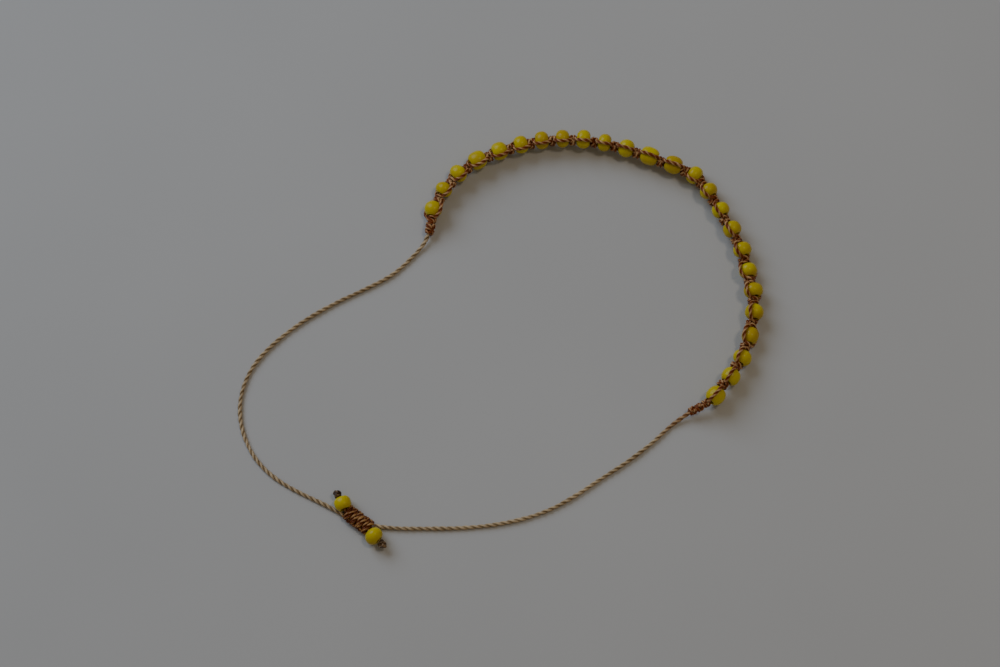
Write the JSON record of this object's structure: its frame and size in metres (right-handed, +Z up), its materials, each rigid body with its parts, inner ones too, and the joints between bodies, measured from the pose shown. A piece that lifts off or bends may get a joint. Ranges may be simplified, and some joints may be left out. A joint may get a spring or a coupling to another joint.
{
  "type": "beaded bracelet",
  "caption": "Adjustable bracelet of yellow glass beads square-knotted on a brown and beige waxed thread, lying open, with a sliding knot and stopper beads.",
  "frame": {"origin": "on the surface that the bracelet lies on, below the middle of its beaded band and sliding knot together", "axes": "+Z up from the surface, +X to the right and +Y away from the viewer of the picture"},
  "size_m": [0.1103, 0.092, 0.0059],
  "materials": {
    "yellow_glass": "opaque, polished",
    "knotted_thread": "waxed, slightly shiny",
    "bare_thread": "waxed, slightly shiny",
    "burnt_thread": "melted, slightly shiny"
  },
  "bodies": {
    "root": {"bead_01": "yellow_glass", "bead_02": "yellow_glass", "bead_03": "yellow_glass", "bead_04": "yellow_glass", "bead_05": "yellow_glass", "bead_06": "yellow_glass", "bead_07": "yellow_glass", "bead_08": "yellow_glass", "bead_09": "yellow_glass", "bead_10": "yellow_glass", "bead_11": "yellow_glass", "bead_12": "yellow_glass", "bead_13": "yellow_glass", "bead_14": "yellow_glass", "bead_15": "yellow_glass", "bead_16": "yellow_glass", "bead_17": "yellow_glass", "bead_18": "yellow_glass", "bead_19": "yellow_glass", "bead_20": "yellow_glass", "bead_21": "yellow_glass", "bead_22": "yellow_glass", "bead_23": "yellow_glass", "bead_24": "yellow_glass", "bead_25": "yellow_glass", "knotted_band": "knotted_thread", "thread_left": "bare_thread", "thread_right": "bare_thread", "sliding_knot": "knotted_thread", "stopper_bead_left": "yellow_glass", "stopper_bead_right": "yellow_glass", "tail_left": "burnt_thread", "tail_right": "burnt_thread"}
  },
  "joints": []
}
